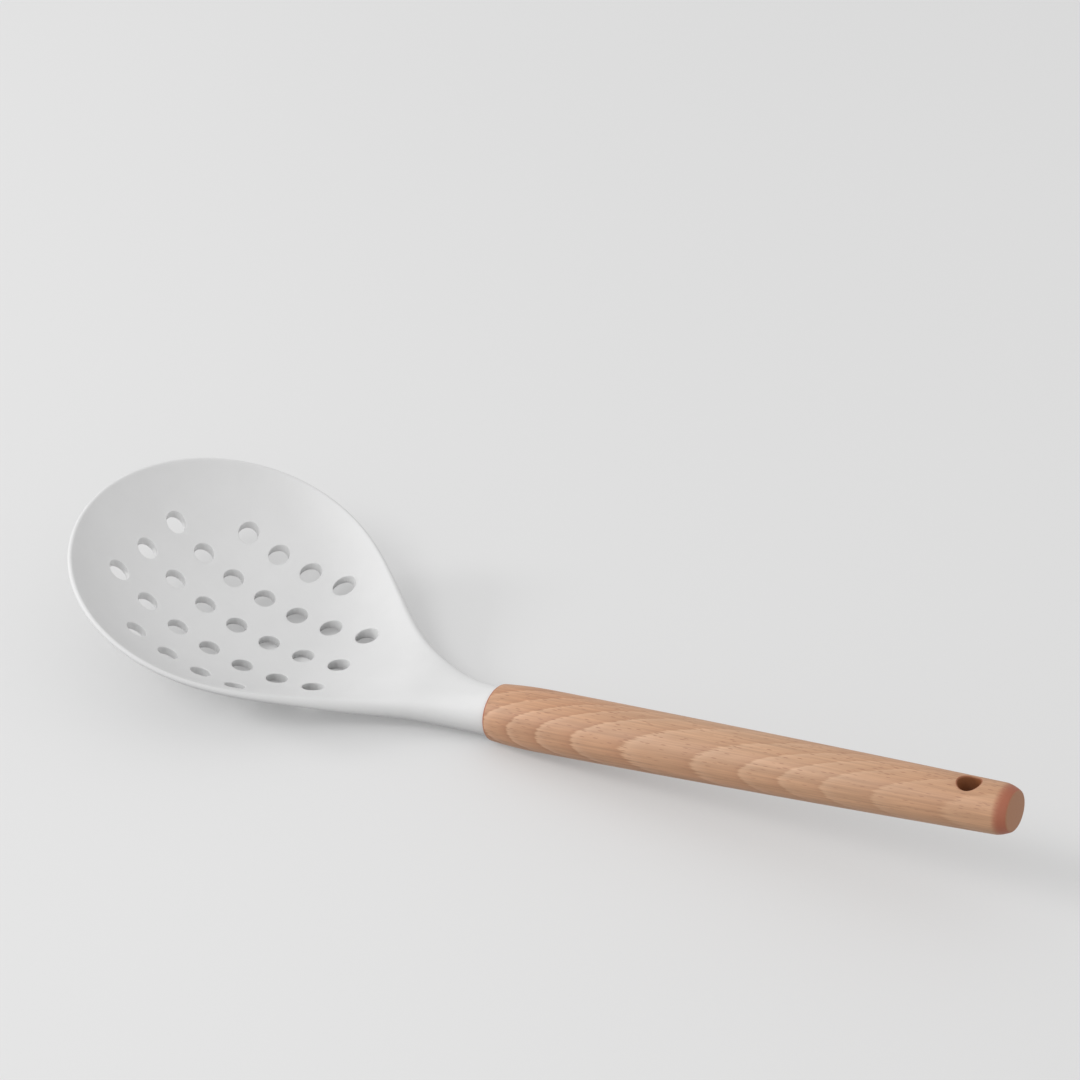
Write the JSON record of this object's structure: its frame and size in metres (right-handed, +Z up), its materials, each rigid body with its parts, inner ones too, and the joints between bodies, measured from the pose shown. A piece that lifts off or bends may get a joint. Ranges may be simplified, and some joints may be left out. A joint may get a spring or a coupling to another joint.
{
  "type": "skimmer",
  "caption": "Perforated round dish head of silicone with a bent neck, on an oval wooden handle with a hanging hole near its end.",
  "frame": {"origin": "on the table, under the middle of the tool's length", "axes": "+X along the tool towards the handle's free end, +Z up, the tool lying at rest as on a table"},
  "size_m": [0.3265, 0.1086, 0.0451],
  "materials": {
    "silicone": "matt moulded silicone, warm white",
    "nylon": "natural glass-filled nylon, as moulded",
    "epoxy": "cured clear epoxy",
    "beech": "sanded beech, lightly oiled"
  },
  "bodies": {
    "root": {"head_skin": "silicone", "head_core": "nylon", "tang_glue": "epoxy", "handle": "beech"}
  },
  "joints": []
}
